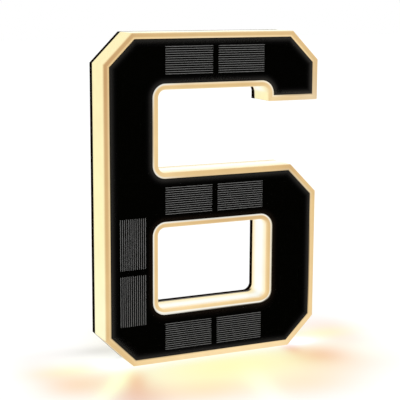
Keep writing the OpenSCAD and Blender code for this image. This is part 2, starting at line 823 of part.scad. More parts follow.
// Black tray that closes the housing, with two keyholes, the screw seats and the button's hole
module back_cover() {
    color([0.05, 0.04, 0.04]) difference() {
        union() {
            difference() {
                slab(cover_front, back_y) digit(0);
                slab(cover_front - over, floor_front) digit(spigot_in);
                slab(cover_front - over, cover_front + groove_d) band(groove_inset, groove_inset + groove_w);
            }
            slab(cover_front - spigot_h, cover_front) band(spigot_out, spigot_in);
            posts(screw_places, cover_front, floor_front, seat_r);
            for (place = keyhole_places)
                slab(pocket_front, floor_front) keyhole_box(place, pocket_wall);
        }
        posts(screw_places, cover_front - over, back_y + over, screw_hole_r);
        posts(screw_places, head_seat, back_y + over, head_recess_r);
        for (place = keyhole_places) {
            slab(floor_front - pocket_depth, floor_front) keyhole_box(place, 0);
            slab(floor_front - pocket_wall, back_y + over) keyhole_shape(place);
        }
        posts([button_place], floor_front - over, back_y + over, button_r + button_gap);
    }
}

module cover_screws() {
    color("dimgray") for (place = screw_places)
        screw(place, head_seat, head_r, head_t, shank_r, screw_l, 1);
}

diffuser_housing();
front_film();
solar_board();
solar_cell(0);  // solar_cell_top_left
solar_cell(1);  // solar_cell_top_right
solar_cell(2);  // solar_cell_middle_left
solar_cell(3);  // solar_cell_middle_right
solar_cell(4);  // solar_cell_stem_upper
solar_cell(5);  // solar_cell_stem_lower
solar_cell(6);  // solar_cell_bottom_left
solar_cell(7);  // solar_cell_bottom_right
panel_tape();
panel_leads();
lead_seal();
inner_frame();
led_strip_outer();
led_strip_inner();
leds_outer();
leds_inner();
strip_leads();
battery_tray();
battery_upper();
battery_lower();
contact_plates();
contact_spring();
battery_leads();
control_board();
controller_chip();
charge_coil();
wire_connectors();
board_screws();
mode_switch();
switch_plunger();
mode_button();
button_seal();
cover_gasket();
back_cover();
cover_screws();
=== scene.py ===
import math
import bmesh
import bpy
import numpy as np
from mathutils import Euler, Matrix, Vector
from mathutils.geometry import tessellate_polygon


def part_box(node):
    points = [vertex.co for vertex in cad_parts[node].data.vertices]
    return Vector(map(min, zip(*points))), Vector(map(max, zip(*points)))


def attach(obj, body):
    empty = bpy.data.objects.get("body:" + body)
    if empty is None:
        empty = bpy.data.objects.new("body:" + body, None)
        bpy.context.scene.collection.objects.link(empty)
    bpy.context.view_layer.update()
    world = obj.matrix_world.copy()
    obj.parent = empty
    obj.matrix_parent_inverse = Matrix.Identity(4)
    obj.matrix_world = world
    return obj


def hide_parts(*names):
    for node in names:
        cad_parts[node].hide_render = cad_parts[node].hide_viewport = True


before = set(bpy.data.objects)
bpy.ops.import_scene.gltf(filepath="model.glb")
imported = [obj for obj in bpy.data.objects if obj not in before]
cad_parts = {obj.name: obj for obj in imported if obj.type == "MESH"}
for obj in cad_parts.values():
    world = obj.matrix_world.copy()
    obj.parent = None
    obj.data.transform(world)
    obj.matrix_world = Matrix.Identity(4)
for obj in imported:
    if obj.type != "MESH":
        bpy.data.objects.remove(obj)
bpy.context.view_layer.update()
print("frame loaded with", len(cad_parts), "nodes")

scene = bpy.context.scene
scene.view_settings.view_transform = "Standard"
mm = 0.001

camera = {
    "lens": 107.1,
    "sensor": 36,
    "place": (-0.3137, -0.6518, 0.22755),  # in metres
    "turnRight": 25.409,  # in degrees
    "lookDown": 10.266,
    "roll": 0.262,
    "farthest": 60,
}


def addCamera():
    data = bpy.data.cameras.new("photoCamera")
    data.lens = camera["lens"]
    data.sensor_width = camera["sensor"]
    data.clip_end = camera["farthest"]
    eye = bpy.data.objects.new("photoCamera", data)
    scene.collection.objects.link(eye)
    facing = Euler((math.radians(90 - camera["lookDown"]), 0, math.radians(-camera["turnRight"])))
    rolled = facing.to_matrix().to_4x4() @ Matrix.Rotation(math.radians(camera["roll"]), 4, "Z")
    eye.matrix_world = Matrix.Translation(camera["place"]) @ rolled
    scene.camera = eye


addCamera()


def boxOf(node):
    # lowest and highest corner of a CAD node, in mm
    return [np.array(corner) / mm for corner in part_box(node)]


# Outline of the digit, in mm
low, high = boxOf("diffuser_housing")

sign = {
    "halfWidth": high[0],
    "height": high[2],
    "frontY": low[1],
    "seamY": high[1],  # where the housing meets the back cover
    "stemWidth": 34.2,
    "barHeight": 33.4,
    "lowerCounter": 50.4,
    "hookDrop": 9.3,
    "chamfer": 17.9,
    "counterRadius": 4.7,
    "cornerRadius": 0.6,
    "convexSteps": 4,  # parts that a corner's fan is cut into
    "concaveSteps": 12,
    "bayCorners": [4, 5, 6, 7],  # numbers of the outline's corners round the upper bay
}


def outerCorners():
    # corner points of the outside with their radius, travelled with the material on the left
    s = sign
    w, h, leg = s["halfWidth"], s["height"], s["chamfer"]
    left, right = s["stemWidth"] - w, w - s["stemWidth"]
    waist = s["barHeight"] * 2 + s["lowerCounter"]
    ceiling = h - s["barHeight"]
    hook = ceiling - s["hookDrop"]
    r, big = s["cornerRadius"], s["counterRadius"]
    return [
        (leg - w, 0, r), (w - leg, 0, r), (w, leg, r), (w, waist - leg, r), (w - leg, waist, r),
        (left, waist, big), (left, ceiling, big), (right, ceiling, big), (right, hook, r),
        (w, hook, r), (w, h - leg, r), (w - leg, h, r), (leg - w, h, r), (-w, h - leg, r), (-w, leg, r),
    ]


def counterCorners():
    s = sign
    right = s["halfWidth"] - s["stemWidth"]
    bottom, top, big = s["barHeight"], s["barHeight"] + s["lowerCounter"], s["counterRadius"]
    return [(-right, bottom, big), (-right, top, big), (right, top, big), (right, bottom, big)]


def makeContour(corners, spacing=2.4):
    # Each corner becomes a fan of directions u between the left normals of its two edges, and each
    # edge is divided evenly. A ring at any inset then has the same points in the same order.
    points = np.array(corners, float)
    place, radius = points[:, :2], points[:, 2]
    after = np.roll(place, -1, 0) - place
    after /= np.linalg.norm(after, axis=1)[:, None]
    before = np.roll(after, 1, 0)
    normalBefore = np.stack([-before[:, 1], before[:, 0]], 1)
    normalAfter = np.stack([-after[:, 1], after[:, 0]], 1)
    cosine = (normalBefore * normalAfter).sum(1)
    mitre = (normalBefore + normalAfter) / (1 + cosine)[:, None]
    convex = before[:, 0] * after[:, 1] - before[:, 1] * after[:, 0] > 0
    steps = np.where(convex, sign["convexSteps"], sign["concaveSteps"])
    owner = np.repeat(np.arange(len(points)), steps + 1)
    first = np.concatenate([[0], np.cumsum(steps + 1)[:-1]])
    share = (np.arange(len(owner)) - first[owner]) / steps[owner]
    angle = np.arccos(np.clip(cosine, -1, 1))[owner]
    blendA = np.sin((1 - share) * angle) / np.sin(angle)
    blendB = np.sin(share * angle) / np.sin(angle)
    fan = normalBefore[owner] * blendA[:, None] + normalAfter[owner] * blendB[:, None]
    contour = {
        "corner": place[owner], "mitre": mitre[owner], "fan": fan,
        "radius": radius[owner], "convex": convex[owner],
    }
    # straight points between the end of one fan and the start of the next
    ends = fanPoints(contour, 0)
    last = first + steps
    following = np.roll(first, -1)
    length = np.linalg.norm(ends[following] - ends[last], axis=1)
    cuts = np.maximum(1, np.round(length / spacing).astype(int))
    runs = [
        np.concatenate([
            np.stack([np.arange(a, b + 1), np.arange(a, b + 1), np.zeros(b + 1 - a)], 1),
            np.stack([np.full(n - 1, b), np.full(n - 1, c), np.arange(1, n) / n], 1),
        ])
        for a, b, c, n in zip(first, last, following, cuts)
    ]
    table = np.concatenate(runs)
    contour["from"] = table[:, 0].astype(int)
    contour["to"] = table[:, 1].astype(int)
    contour["share"] = table[:, 2]
    contour["cornerIndex"] = np.repeat(np.arange(len(points)), [len(run) for run in runs])
    contour["normal"] = mixRows(contour, -fan)  # points outwards
    return contour


def fanPoints(contour, inset):
    # convex: corner + max(d, r) mitre - max(r - d, 0) u; concave: corner - r mitre + (r + d) u
    r = contour["radius"][:, None]
    convex = (
        contour["corner"] + np.maximum(inset, r) * contour["mitre"]
        - np.maximum(r - inset, 0) * contour["fan"])
    concave = contour["corner"] - r * contour["mitre"] + (r + inset) * contour["fan"]
    return np.where(contour["convex"][:, None], convex, concave)


def mixRows(contour, values):
    t = contour["share"][:, None]
    return values[contour["from"]] * (1 - t) + values[contour["to"]] * t


def ring(contour, inset):
    return mixRows(contour, fanPoints(contour, inset))


outerContour = makeContour(outerCorners())
counterContour = makeContour(counterCorners())
print("outline has", len(outerContour["share"]), "points and the counter", len(counterContour["share"]))


def sweep(contour, profile):
    # Point (k, i) is the contour's point i at the inset of profile row k, at that row's depth.
    # Faces look outwards where the profile runs inner wall, back, outer wall, rim.
    rows = np.array(profile, float)
    rings = np.stack([ring(contour, inset) for inset in rows[:, 0]])
    depth = np.broadcast_to(rows[:, 1][:, None], rings.shape[:2])
    points = np.stack([rings[..., 0], depth, rings[..., 1]], -1)
    normal = np.broadcast_to(contour["normal"], rings.shape)
    inset = np.broadcast_to(rows[:, 0][:, None], rings.shape[:2])
    info = np.stack([inset, depth, rings[..., 0], rings[..., 1], normal[..., 0], normal[..., 1]], -1)
    return points.reshape(-1, 3), gridFaces(*rings.shape[:2]), info.reshape(-1, 6)


def gridFaces(rows, columns):
    # quads of a grid that closes on itself along its columns
    k, i = np.meshgrid(np.arange(rows - 1), np.arange(columns), indexing="ij")
    j = (i + 1) % columns
    quads = np.stack([k * columns + i, k * columns + j, (k + 1) * columns + j, (k + 1) * columns + i], -1)
    return quads.reshape(-1, 4)


def turned(profile, centre, steps):
    # Point (k, i) is at the radius and depth of profile row k, turned by i steps about the depth axis.
    rows = np.array(profile, float)
    angle = np.arange(steps) * 2 * np.pi / steps
    x = centre[0] + rows[:, 0][:, None] * np.cos(angle)
    z = centre[1] + rows[:, 0][:, None] * np.sin(angle)
    depth = np.broadcast_to(rows[:, 1][:, None], x.shape)
    return np.stack([x, depth, z], -1).reshape(-1, 3), gridFaces(len(rows), steps)[:, ::-1]


def capFaces(points, rings, side):
    # Triangles between closed rings of point numbers, without points that fall on the one before.
    # Side is -1 to face the front and 1 to face the back.
    gaps = [np.linalg.norm(points[ring] - points[np.roll(ring, 1)], axis=1) for ring in rings]
    loops = [ring[gap > 1e-4] for ring, gap in zip(rings, gaps)]
    flat = [list(map(Vector, (points[loop][:, [0, 2, 1]] * (1, 1, 0)).tolist())) for loop in loops]
    numbers = np.concatenate(loops)
    triangles = numbers[np.array(tessellate_polygon(flat))]
    a, b, c = (points[triangles[:, k]] for k in range(3))
    facing = np.cross(b - a, c - a)[:, 1] * side
    triangles[facing < 0] = triangles[facing < 0][:, ::-1]
    return triangles


def makeMesh(name, points, faces, colours=None):
    # points in mm; faces is a list of arrays, one for each number of sides
    mesh = bpy.data.meshes.new(name)
    polygons = [face for block in faces for face in block.tolist()]
    mesh.from_pydata((np.asarray(points) * mm).tolist(), [], polygons)
    for label, values in (colours or {}).items():
        rgba = np.ones((len(points), 4), np.float32)
        rgba[:, :3] = values
        layer = mesh.attributes.new(label, "FLOAT_COLOR", "POINT")
        layer.data.foreach_set("color", rgba.ravel())
    return mesh


def mergeMesh(mesh, distance=2e-6, angle=None, outward=False):
    # joins points closer than a distance in metres, then flat faces, and turns the faces outwards
    shape = bmesh.new()
    shape.from_mesh(mesh)
    bmesh.ops.remove_doubles(shape, verts=shape.verts, dist=distance)
    if angle is not None:
        bmesh.ops.dissolve_limit(
            shape, angle_limit=math.radians(angle), verts=shape.verts, edges=shape.edges, delimit={"NORMAL"})
    if outward:
        bmesh.ops.recalc_face_normals(shape, faces=shape.faces)
    shape.to_mesh(mesh)
    shape.free()


class Gather:
    # the parts of one mesh, with the rings of points between which its flat front and back lie
    def __init__(self):
        self.points = np.zeros((0, 3))
        self.faces, self.colours, self.fronts, self.backs = [], {}, [], []

    def add(self, points, faces, **colours):
        # returns the number of the part's first point
        first = len(self.points)
        self.points = np.concatenate([self.points, points])
        self.faces.append(faces + first)
        for key, values in colours.items():
            self.colours.setdefault(key, []).append(np.broadcast_to(values, points.shape))
        return first

    def addSwept(self, contour, points, faces, **colours):
        # a swept part starts with its back ring and ends with its front ring
        first, ring = self.add(points, faces, **colours), np.arange(len(contour["share"]))
        self.backs.append(ring + first)
        self.fronts.append(ring + first + len(points) - len(ring))

    def mesh(self, name):
        self.faces.append(capFaces(self.points, self.fronts, -1))
        self.faces.append(capFaces(self.points, self.backs, 1))
        colours = {key: np.concatenate(values) for key, values in self.colours.items()}
        mesh = makeMesh(name, self.points, self.faces, colours)
        mergeMesh(mesh)
        return mesh


def shadeSmooth(mesh, angle):
    # smooth shading that keeps edges sharper than the angle
    mesh.polygons.foreach_set("use_smooth", np.ones(len(mesh.polygons), bool))
    shape = bmesh.new()
    shape.from_mesh(mesh)
    limit = math.radians(angle)
    for edge in shape.edges:
        edge.smooth = len(edge.link_faces) == 2 and edge.calc_face_angle(0) < limit
    shape.to_mesh(mesh)
    shape.free()


def addPiece(name, mesh, material, nodes, body="case", angle=40):
    shadeSmooth(mesh, angle)
    piece = bpy.data.objects.new(name, mesh)
    scene.collection.objects.link(piece)
    mesh.materials.clear()
    mesh.materials.append(material)
    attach(piece, body)
    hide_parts(*nodes)
    return piece


def faceValues(mesh, key):
    # the normal or the center of each face
    values = np.empty(len(mesh.polygons) * 3, np.float32)
    mesh.polygons.foreach_get(key, values)
    return values.reshape(-1, 3)


def dressSides(mesh, material, steepest=0.3):
    # a second material for the faces that look sideways, not to the front or back
    mesh.materials.append(material)
    sideways = np.abs(faceValues(mesh, "normal")[:, 1]) < steepest
    mesh.polygons.foreach_set("material_index", sideways.astype(np.int32))


def linear(srgb):
    # screen colour 0 to 255 to the linear value that a shader takes
    value = np.asarray(srgb, float) / 255
    return np.where(value <= 0.04045, value / 12.92, ((value + 0.055) / 1.055) ** 2.4)


def smooth(value, start, end):
    t = np.clip((value - start) / (end - start), 0, 1)
    return t * t * (3 - 2 * t)


def mixed(a, b, share):
    share = np.asarray(share)[..., None]
    return np.asarray(a, float) * (1 - share) + np.asarray(b, float) * share


def ramp(value, stops):
    # colours between those of a list of (place, colour)
    places = [place for place, colour in stops]
    colours = np.array([colour for place, colour in stops], float)
    return np.stack([np.interp(value, places, channel) for channel in colours.T], -1)


class Graph:
    # a node tree with short calls to add nodes and join them
    def __init__(self, name, store="materials", output="ShaderNodeOutputMaterial"):
        self.owner = getattr(bpy.data, store).new(name)
        self.owner.use_nodes = True
        self.tree = self.owner.node_tree
        self.tree.nodes.clear()
        self.output = self.add(output)

    def add(self, kind, **settings):
        node = self.tree.nodes.new(kind)
        for key, value in settings.items():
            setattr(node, key, value)
        return node

    def feed(self, socket, value):
        # the value is a number, a colour of three numbers or another node's output
        if isinstance(value, bpy.types.NodeSocket):
            self.tree.links.new(value, socket)
        else:
            socket.default_value = (*value, 1) if isinstance(value, tuple) else value

    def set(self, node, **values):
        for key, value in values.items():
            self.feed(node.inputs[key.replace("_", " ")], value)
        return node

    def make(self, kind, **values):
        return self.set(self.add(kind), **values)

    def principled(self, **values):
        return self.make("ShaderNodeBsdfPrincipled", **values)

    def attribute(self, name, output="Color"):
        return self.add("ShaderNodeAttribute", attribute_name=name).outputs[output]

    def objectPlace(self):
        return self.add("ShaderNodeTexCoord").outputs["Object"]

    def noise(self, scale, detail, roughness=0.5):
        return self.make(
            "ShaderNodeTexNoise", Vector=self.objectPlace(), Scale=scale, Detail=detail,
            Roughness=roughness).outputs["Fac"]

    def span(self, value, fromLow, fromHigh, toLow, toHigh):
        return self.make(
            "ShaderNodeMapRange", Value=value, From_Min=fromLow, From_Max=fromHigh, To_Min=toLow,
            To_Max=toHigh).outputs["Result"]

    def sway(self, noise, low, high):
        # the middle of a noise's range, where most of its values lie, carried to low and high
        return self.span(noise, 0.3, 0.7, low, high)

    def math(self, operation, a, b):
        node = self.add("ShaderNodeMath", operation=operation)
        self.feed(node.inputs[0], a)
        self.feed(node.inputs[1], b)
        return node.outputs[0]

    def mix(self, share, a, b):
        # this node's inputs 6 and 7 and its output 2 are the colours
        node = self.add("ShaderNodeMix", data_type="RGBA")
        for place, value in ((0, share), (6, a), (7, b)):
            self.feed(node.inputs[place], value)
        return node.outputs[2]

    def bump(self, height, depth):
        return self.make("ShaderNodeBump", Height=height, Distance=depth, Strength=1.0).outputs["Normal"]

    def seen(self):
        # 1 for rays that show a surface to the eye, straight, mirrored or through glass
        path = self.add("ShaderNodeLightPath")
        ray = self.math("MAXIMUM", path.outputs["Is Camera Ray"], path.outputs["Is Glossy Ray"])
        return self.math("MAXIMUM", ray, path.outputs["Is Transmission Ray"])

    def surface(self, shader):
        self.set(self.output, Surface=shader.outputs[0])
        return self.owner


# What a look has where it names nothing else. Noise scales are per metre, and depths are in metres.
plainLook = {
    "mottle": 0.12,  # share by which the colour wanders
    "patch": 60,
    "grain": 2500,
    "depth": 0.00002,
    "spread": 0.06,  # how far the roughness wanders
    "dust": 0.0,
    "dustColour": (0.3, 0.28, 0.25),
    "dustScale": 0.37,  # share of the grain's scale
    "dustRange": (0.62, 0.8),  # noise values from which dust starts and is full
    "metal": 0.0,
    "ior": 1.5,
    "specular": 0.4,
    "coat": 0.0,
    "coatRoughness": 0.12,
}


def plastic(name, colour, roughness, **changes):
    # a base colour with soft mottling, fine grain in the bump and a roughness that varies a little
    look = {**plainLook, **changes}
    graph = Graph(name)
    colour, mottle, spread = np.array(colour), look["mottle"], look["spread"]
    tone = graph.sway(graph.noise(look["patch"], 3), 0.0, 1.0)
    base = graph.mix(tone, tuple(colour * (1 - mottle)), tuple(np.minimum(colour * (1 + mottle), 1)))
    grain = graph.noise(look["grain"], 2)
    motes = graph.noise(look["grain"] * look["dustScale"], 4, 0.6)
    dust = graph.span(motes, *look["dustRange"], 0.0, look["dust"])
    shader = graph.principled(
        Base_Color=graph.mix(dust, base, look["dustColour"]), Metallic=look["metal"], IOR=look["ior"],
        Roughness=graph.sway(grain, roughness - spread, roughness + spread), Coat_Weight=look["coat"],
        Specular_IOR_Level=look["specular"], Coat_Roughness=look["coatRoughness"],
        Normal=graph.bump(grain, look["depth"]))
    if "emission" in look:
        graph.set(shader, Emission_Color=look["emission"], Emission_Strength=1.0)
    return graph.surface(shader)


# Milky diffuser
diffuser = {
    "wall": 2.4,
    "webFront": -9.6,
    "webBack": -8.0,
    "stepWidth": 1.15,
    "stepDrop": 0.4,
    "outerFillet": 0.35,
    "counterFillet": 1.1,
    "innerFillet": 0.15,
    "bossRadius": 3.0,
    "pilotRadius": 1.3,
    "pilotDepth": 9.5,
    "leadHole": (-8.0, 100.5, 2.6),
    "grooveWidth": 0.9,  # parting groove along the back cover, with painted shade in it
    "counterGroove": 0.2,
    "grooveDepth": 0.35,
    "grooveEdge": 0.23,  # size of the groove's front edge as a share of its depth
    "closedGroove": 0.02,  # its depth in the upper bay
    "backStep": 0.4,
    "postRoot": 0.3,
    "holeSteps": 24,
    "postSteps": 32,
    "glow": 0.82,  # share of the colour that shines from inside
    "body": 0.2,  # share that the room's light brings out
}

# screen colours of the lit plastic
shades = {
    "rimDark": (205, 166, 116),
    "rimLight": (252, 223, 172),
    # the rim's painted pale highlight
    "rimPale": (235, 235, 235),
    "hotLine": (255, 252, 240),
    "stepShade": (60, 50, 38),
    "sideHigh": (254, 239, 184),
    "sideLow": (255, 251, 210),
    "floorEnd": (40, 28, 16),
    "inside": (255, 240, 200),
    "post": (255, 238, 196),
    # painted shade in the panel's pocket and the parting groove
    "pocket": (22, 12, 6),
}

# How the rim's painted light and shade are built. Insets and reaches are in mm, the rest are shares.
rimLook = {
    "plane": (71, 100),  # half the face in x and z, over which the tone changes evenly
    "range": (-0.12, 1),
    "gain": 0.36,  # dark stretches grow lighter inwards
    "gainPower": 1.5,
    "gainInsets": (1.5, 3.0),
    "facingGain": 0.3,  # more so where the edge faces left or up, as painted light
    "facingInsets": (2.2, 2.8),
    "yellow": 20,  # taken from the blue of the middle tones
    "reach": 0.28,  # how far the wall's light comes in over the outer edge
    "reachTop": 0.22,
    "reachCeiling": 0.2,
    "reachCounter": 0.32,
    "fall": 1.4,
    "hotInset": 2.15,  # where the white-hot line along the panel starts
    "hotFloorShift": 0.75,
    "hotWidth": 0.9,
    "shadeInsets": (2.4, 3.4),
    "floorShadeInsets": (2.75, 3.3),
}

# Round touches on the front, each with its place in x and z, its reach and its amount.
# Painted highlights and shade on the rim:
rimTouches = [
    (-71, 175, 14, -0.16), (-71, 140, 16, -0.08), (-71, 38, 16, 0.12), (-62, 9, 10, -0.14), (0, 0, 26, 0.16),
    (62, 108, 12, -0.14), (71, 166, 10, -0.12), (62, 9, 12, -0.12), (58, 157, 9, -0.12), (-37, 132, 14, 0.24),
    (-20, 117, 20, -0.14), (20, 117, 24, -0.1), (50, 117, 10, -0.12), (37, 162, 6, 0.28), (10, 84, 14, -0.14),
    (-20, 33, 12, 0.12), (36, 40, 8, -0.12), (36, 70, 10, -0.14),
]

# bright stretches of the step
stepTouches = [
    (-37, 167, 9, 0.8), (-37, 117, 9, 0.7), (37, 167, 7, 0.6), (-37, 140, 20, 0.3), (0, 167, 26, 0.45),
    (62, 108, 12, 0.4),
]

# stretches of the step in shadow along the panel
stepShadows = [
    (71, 36, 13, 0.6), (71, 62, 13, 0.6), (71, 170, 12, 0.15), (62, 108, 12, 0.35), (-37, 142, 18, 0.3),
    (-30, 0, 30, 0.18), (0, 84, 22, 0.18), (-71, 35, 20, 0.15), (-62, 9, 11, 0.15), (56, 157, 8, 0.2),
]

# a painted pale highlight on the rim
paleTouches = [(66, 160, 13, 0.26)]

# screen colours of the lit walls, from the seam at 0 to the front at 1
wallColours = {
    "side": [(0, (253, 241, 184)), (0.1, (255, 246, 190)), (0.9, (255, 243, 188))],
    "top": [(0, (255, 254, 238)), (0.5, (254, 248, 220)), (1, (253, 242, 205))],
    "bottom": [(0, (255, 253, 225)), (1, (255, 250, 215))],
    # painted shade on the lower chamfers, which face down: darker gold, greyer near the seam
    "lowChamfer": [(0, (212, 203, 188)), (0.5, (219, 195, 152)), (1, (220, 189, 136))],
    "bay": [(0, (254, 252, 230)), (0.3, (255, 255, 248)), (0.62, (255, 254, 228)), (0.9, (250, 235, 188))],
    "hook": [(0, (255, 249, 202)), (1, (255, 246, 192))],
    "counter": [
        (0, (255, 230, 175)), (0.25, (255, 255, 250)), (0.65, (255, 255, 250)), (1, (255, 230, 180))],
    "counterFloor": [
        (0, (230, 205, 160)), (0.15, (255, 235, 180)), (0.5, (255, 255, 245)), (0.7, (255, 255, 245)),
        (1, (245, 215, 165))],
}

screwPlaces = [
    (-52.5, 181.8), (0, 183.3), (54.0, 178.65), (-54.0, 150.35), (-54.0, 33.65),
    (54.0, 58.6), (52.5, 99.0), (0, 16.7), (52.5, 18.2),
]


def arc(centreInset, centreDepth, radius, fromAngle, toAngle, steps):
    angle = np.radians(np.linspace(fromAngle, toAngle, steps + 1))
    return np.stack([centreInset + radius * np.cos(angle), centreDepth + radius * np.sin(angle)], 1)


def shellProfile(fillet, grooveWidth, groove):
    # inner wall, back edge, outer wall, front fillet, rim, inner fillet, light step, panel pocket
    d = diffuser
    front, seam = sign["frontY"], sign["seamY"]
    wall, pocket = d["wall"], d["wall"] + d["stepWidth"]
    small, edge, grooveEnd = d["innerFillet"], groove * d["grooveEdge"], seam - grooveWidth
    stepY = front + d["stepDrop"]
    # rows across the step and along the wall, as shares of the way, closer where the colour changes fast
    across = np.array([0.25, 0.45, 0.6, 0.75, 0.9, 1]) * d["stepWidth"]
    depth = grooveEnd - edge + (front + fillet - grooveEnd + edge) * np.array(
        [0, 0.02, 0.04, 0.07, 0.11, 0.16, 0.22, 0.3, 0.38, 0.46, 0.54, 0.62, 0.7, 0.78, 0.85, 0.91, 0.96])
    line = np.linspace
    return np.concatenate([
        np.stack([np.full(6, wall), line(d["webBack"], seam, 6)], 1),
        np.stack([line(wall - d["backStep"], groove, 4), np.full(4, seam)], 1),
        np.stack([np.full(3, groove), line(seam, grooveEnd, 4)[1:]], 1),
        [(groove * 0.6, grooveEnd), (edge * 1.5, grooveEnd)],
        [(edge, grooveEnd), (edge * 0.3, grooveEnd - edge * 0.3)],
        np.stack([np.zeros(len(depth)), depth], 1),
        arc(fillet, front + fillet, fillet, 180, 270, 6),
        np.stack([line(fillet, wall - small, 9)[1:], np.full(8, front)], 1),
        arc(wall - small, front + small, small, 270, 360, 3)[1:],
        np.stack([np.full(2, wall), line(front + small, stepY, 3)[1:]], 1),
        np.stack([wall + across, np.full(len(across), stepY)], 1),
        np.stack([np.full(2, pocket), line(stepY, d["webFront"], 3)[1:]], 1),
    ])


def softFlags(contour, corners, reach=7):
    # 1 on the stretches from each listed corner to the next, with soft ends
    flag = np.isin(contour["cornerIndex"], corners).astype(float)
    window = np.ones(reach) / reach
    return np.convolve(np.concatenate([flag[-reach:], flag, flag[:reach]]), window, "same")[reach:-reach]


def bells(x, z, touches):
    # the sum of round bell curves, each with its own place, reach and amount
    total = np.zeros_like(x)
    for cx, cz, reach, amount in touches:
        total += amount * np.exp(-0.5 * ((x - cx) ** 2 + (z - cz) ** 2) / reach ** 2)
    return total


def rimShare(x, z, nx, nz, inCounter):
    # How far the rim's colour is from dark to light, in painted light and shade: an even part, plus parts
    # for how the edge is turned and for the place across and up the face, outside and in the counters.
    u, v = x / rimLook["plane"][0], z / rimLook["plane"][1] - 1
    outside = 0.6 + 0.05 * nx - 0.1 * nz + 0.15 * u - 0.2 * v - 0.2 * nx * nx
    inside = 0.55 - 0.15 * nx + 0.1 * nz - 0.2 * u
    share = outside * (1 - inCounter) + inside * inCounter + bells(x, z, rimTouches)
    return np.clip(share, *rimLook["range"])


def wallGlow(along, x, z, nx, nz, upper, lower):
    # screen colour of the walls: the outside by the way each faces, with painted shade on the lower
    # chamfers, then the upper bay, then the counter
    tone = {key: ramp(along, stops) for key, stops in wallColours.items()}
    wall = mixed(tone["side"], shades["sideHigh"], smooth(z, 110, 180) * 0.8)
    wall = mixed(wall, shades["sideLow"], smooth(-z, -90, -20) * 0.8)
    wall = mixed(wall, tone["top"], smooth(nz, 0.8, 1.0))
    wall = mixed(wall, tone["lowChamfer"], smooth(-nz, 0.3, 0.65))
    wall = mixed(wall, tone["bottom"], smooth(-nz, 0.8, 1.0))
    inHook = smooth(-nx, 0.3, 0.8) * smooth(x, 25, 32)
    bay = mixed(tone["bay"], tone["hook"], inHook * smooth(-z, -164, -161))
    counter = mixed(tone["counter"], tone["counterFloor"], smooth(nz, 0.3, 0.9))
    return mixed(mixed(wall, bay, upper), counter, lower)


def rimGlow(inset, x, z, nx, nz, upper, lower, wall):
    # Painted light on the rim: it grows lighter inwards where it is dark, and takes a painted share of the
    # wall's light at its outer edge, by the way that edge faces.
    look = rimLook
    inBay = np.maximum(upper, lower)
    outside = 1 - inBay
    left, leftmost, top = smooth(-nx, 0, 0.7), smooth(-nx, 0.5, 1), smooth(nz, 0.75, 1)
    share = rimShare(x, z, nx, nz, inBay)
    dark = np.clip(1 - share, 0, 1) ** look["gainPower"]
    share = share + look["gain"] * dark * smooth(inset, *look["gainInsets"]) * (1 - lower)
    facing = np.maximum(left, smooth(nz, 0.3, 0.7))
    share = share + look["facingGain"] * facing * smooth(inset, *look["facingInsets"]) * outside
    rim = mixed(shades["rimDark"], shades["rimLight"], np.minimum(share, 1))
    rim[:, 2] -= look["yellow"] * np.clip(share, 0, 1) * (1 - np.clip(share, 0, 1))
    rim = mixed(rim, shades["rimPale"], np.clip(bells(x, z, paleTouches), 0, 1))
    outward = 0.15 + 0.4 * left * smooth(nz, -0.6, -0.2) + 0.6 * top
    inward = 0.2 + 0.65 * np.maximum(smooth(nx, 0, 0.7), smooth(-nz, 0, 0.7)) + 0.3 * leftmost * lower
    bleed = outward * outside + inward * inBay
    ceiling = smooth(-nz, 0.3, 0.9) * upper
    reach = look["reach"] + look["reachTop"] * top * outside + look["reachCeiling"] * ceiling
    reach = reach + look["reachCounter"] * lower
    return mixed(rim, wall, np.exp(-(inset / reach) ** look["fall"]) * bleed)


def stepGlow(colour, inset, x, z, nx, onFloor, lower):
    # a white-hot line along the panel, all round the lower counter and in places elsewhere, and shadows
    look = rimLook
    start = look["hotInset"] - look["hotFloorShift"] * onFloor
    counterHot = 1 - 0.2 * smooth(-nx, 0.5, 1)
    hot = np.clip(bells(x, z, stepTouches) * (1 - lower) + lower * counterHot, 0, 1)
    colour = mixed(colour, shades["hotLine"], hot * smooth(inset, start, start + look["hotWidth"]))
    shade = np.clip(bells(x, z, stepShadows), 0, 1) * smooth(inset, *look["shadeInsets"])
    # on the counter's floor the shadow grows from left to right
    rightward = np.clip(0.55 + x / 70, 0, 1)
    floorShade = rightward * onFloor * smooth(inset, *look["floorShadeInsets"])
    return mixed(colour, shades["stepShade"], np.maximum(shade, floorShade))


